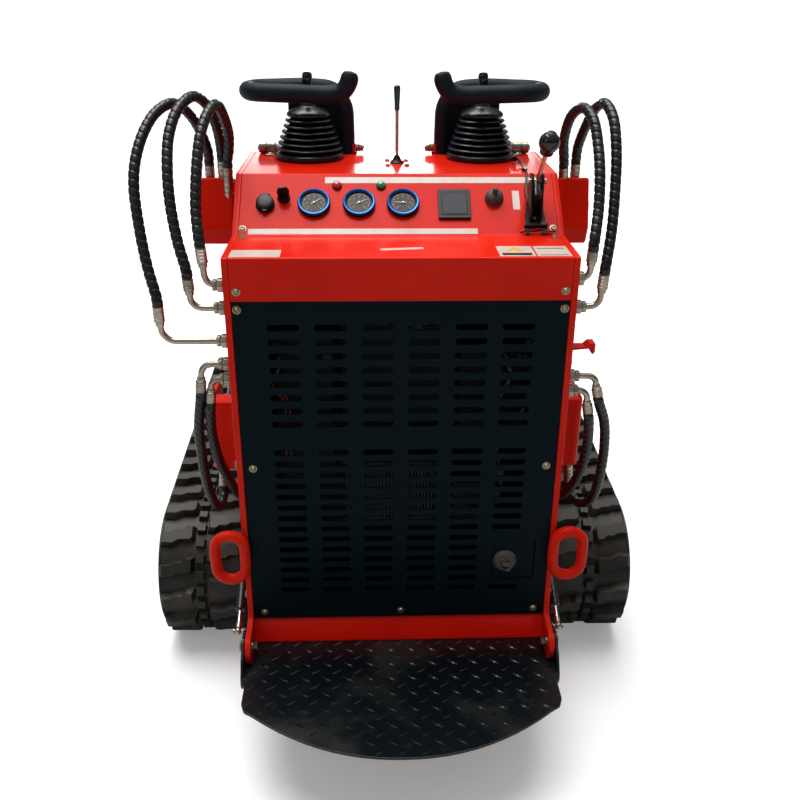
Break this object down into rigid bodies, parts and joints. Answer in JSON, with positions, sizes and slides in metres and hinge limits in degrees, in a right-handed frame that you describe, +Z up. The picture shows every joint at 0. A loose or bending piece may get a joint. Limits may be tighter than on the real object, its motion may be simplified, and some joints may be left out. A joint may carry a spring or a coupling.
{
  "type": "mini track loader",
  "caption": "Small stand-on tracked loader with lifting arms, a tilting bucket, rubber tracks, an opening hood and a folding rear platform.",
  "frame": {"origin": "on the ground under the middle of the machine's box", "axes": "+Z up, +Y forwards towards the bucket, +X to the right of a driver on the platform"},
  "size_m": [1.14, 2.4482, 1.3383],
  "materials": {
    "hydraulic_hose": "black hose in a spiral guard",
    "red_paint": "gloss orange-red enamel",
    "grille_paint": "gloss blue-black powder coat",
    "engine_casting": "painted casting",
    "gauge_bezel": "blue anodised bezel",
    "black_plastic": "moulded black plastic",
    "red_lens": "red lamp lens",
    "green_lens": "green lamp lens",
    "boot_rubber": "smooth moulded rubber",
    "foam": "matt foam sleeve",
    "track_rubber": "moulded track rubber",
    "black_paint": "satin black enamel",
    "cylinder_paint": "gloss black enamel",
    "chrome_rod": "hard chrome",
    "tread_plate": "gloss black paint on chequer plate"
  },
  "bodies": {
    "chassis": {"left_boom_hose_outer": "hydraulic_hose", "left_boom_hose_middle": "hydraulic_hose", "left_boom_hose_inner": "hydraulic_hose", "left_lift_hose_outer": "hydraulic_hose", "left_lift_hose_inner": "hydraulic_hose", "right_boom_hose_inner": "hydraulic_hose", "right_boom_hose_outer": "hydraulic_hose", "right_lift_hose_outer": "hydraulic_hose", "right_lift_hose_inner": "hydraulic_hose", "left_side_plate": "red_paint", "right_side_plate": "red_paint", "console_housing": "red_paint", "rear_grille": "grille_paint", "rear_crossbar": "red_paint", "belly_plate": "red_paint", "front_bulkhead": "red_paint", "engine_block": "engine_casting", "left_gauge": "gauge_bezel", "middle_gauge": "gauge_bezel", "right_gauge": "gauge_bezel", "hour_meter": "black_plastic", "power_socket": "black_plastic", "ignition_switch": "black_plastic", "rubber_cap_switch": "black_plastic", "red_warning_lamp": "red_lens", "green_warning_lamp": "green_lens", "ball_lever": "black_plastic", "left_joystick": "boot_rubber", "right_joystick": "boot_rubber", "throttle_lever": "black_plastic", "left_hand_loop": "foam", "right_hand_loop": "foam", "battery_isolator": "black_plastic", "left_tie_down_ring": "red_paint", "right_tie_down_ring": "red_paint", "left_track": "track_rubber", "left_track_frame": "black_paint", "left_idler": "black_paint", "left_drive_sprocket": "black_paint", "right_track": "track_rubber", "right_track_frame": "black_paint", "right_idler": "black_paint", "right_drive_sprocket": "black_paint"},
    "hood": {"engine_hood": "red_paint"},
    "boom": {"left_boom_arm": "red_paint", "right_boom_arm": "red_paint", "boom_cross_tube": "red_paint"},
    "tool": {"tool_carrier": "black_paint", "bucket": "black_paint"},
    "tilt_barrel": {"tilt_cylinder_barrel": "cylinder_paint"},
    "tilt_rod": {"tilt_cylinder_rod": "chrome_rod"},
    "platform": {"standing_platform": "tread_plate"},
    "left_lift_barrel": {"left_lift_cylinder_barrel": "cylinder_paint"},
    "left_lift_rod": {"left_lift_cylinder_rod": "chrome_rod"},
    "left_spring_tube": {"left_gas_spring_barrel": "cylinder_paint"},
    "left_spring_rod": {"left_gas_spring_rod": "chrome_rod"},
    "right_lift_barrel": {"right_lift_cylinder_barrel": "cylinder_paint"},
    "right_lift_rod": {"right_lift_cylinder_rod": "chrome_rod"},
    "right_spring_tube": {"right_gas_spring_barrel": "cylinder_paint"},
    "right_spring_rod": {"right_gas_spring_rod": "chrome_rod"}
  },
  "joints": [
    {"name": "boom_lift", "type": "hinge", "parent": "chassis", "child": "boom", "pos_m": [0, -0.48615, 1.06], "axis": [1, 0, 0], "range_deg": [0, 66], "deforming": ["left_boom_hose_outer", "left_boom_hose_middle", "left_boom_hose_inner", "right_boom_hose_inner", "right_boom_hose_outer"]},
    {"name": "bucket_tilt", "type": "hinge", "parent": "boom", "child": "tool", "pos_m": [0, 0.68885, 0.2], "axis": [1, 0, 0], "range_deg": [-80, 20]},
    {"name": "platform_fold", "type": "hinge", "parent": "chassis", "child": "platform", "pos_m": [0, -0.93415, 0.23], "axis": [1, 0, 0], "range_deg": [-85, 0]},
    {"name": "hood_open", "type": "hinge", "parent": "chassis", "child": "hood", "pos_m": [0, -0.38015, 1.1725], "axis": [1, 0, 0], "range_deg": [0, 55]},
    {"name": "left_lift_swing", "type": "hinge", "parent": "chassis", "child": "left_lift_barrel", "pos_m": [-0.3675, -0.58615, 0.6], "axis": [1, 0, 0], "range_deg": [0, 41.63]},
    {"name": "left_lift_stroke", "type": "slide", "parent": "left_lift_barrel", "child": "left_lift_rod", "axis": [0, 0.954, 0.2998], "range_m": [0, 0.34375]},
    {"name": "left_spring_swing", "type": "hinge", "parent": "chassis", "child": "left_spring_tube", "pos_m": [-0.344, -0.63115, 0.348], "axis": [1, 0, 0], "range_deg": [0, 3.69]},
    {"name": "left_spring_stroke", "type": "slide", "parent": "left_spring_tube", "child": "left_spring_rod", "axis": [0, -0.8973, -0.4414], "range_m": [0, 0.07343]},
    {"name": "right_lift_swing", "type": "hinge", "parent": "chassis", "child": "right_lift_barrel", "pos_m": [0.3675, -0.58615, 0.6], "axis": [1, 0, 0], "range_deg": [0, 41.63]},
    {"name": "right_lift_stroke", "type": "slide", "parent": "right_lift_barrel", "child": "right_lift_rod", "axis": [0, 0.954, 0.2998], "range_m": [0, 0.34375]},
    {"name": "right_spring_swing", "type": "hinge", "parent": "chassis", "child": "right_spring_tube", "pos_m": [0.344, -0.63115, 0.348], "axis": [1, 0, 0], "range_deg": [0, 3.69]},
    {"name": "right_spring_stroke", "type": "slide", "parent": "right_spring_tube", "child": "right_spring_rod", "axis": [0, -0.8973, -0.4414], "range_m": [0, 0.07343]},
    {"name": "tilt_swing", "type": "hinge", "parent": "boom", "child": "tilt_barrel", "pos_m": [0, 0.29885, 0.64], "axis": [1, 0, 0], "range_deg": [-0.66, 2.64]},
    {"name": "tilt_stroke", "type": "slide", "parent": "tilt_barrel", "child": "tilt_rod", "axis": [0, 0.7828, -0.6222], "range_m": [-0.04314, 0.17228]}
  ],
  "couplings": [
    {"joint": "left_lift_swing", "follows": "boom_lift", "ratio": 0.61833},
    {"joint": "left_lift_stroke", "follows": "boom_lift", "m_per_rad": 0.29248},
    {"joint": "left_spring_swing", "follows": "platform_fold", "ratio": -0.042543},
    {"joint": "left_spring_stroke", "follows": "platform_fold", "m_per_rad": -0.048461},
    {"joint": "right_lift_swing", "follows": "boom_lift", "ratio": 0.61833},
    {"joint": "right_lift_stroke", "follows": "boom_lift", "m_per_rad": 0.29248},
    {"joint": "right_spring_swing", "follows": "platform_fold", "ratio": -0.042543},
    {"joint": "right_spring_stroke", "follows": "platform_fold", "m_per_rad": -0.048461},
    {"joint": "tilt_swing", "follows": "bucket_tilt", "ratio": -0.032292},
    {"joint": "tilt_stroke", "follows": "bucket_tilt", "m_per_rad": -0.1209}
  ]
}
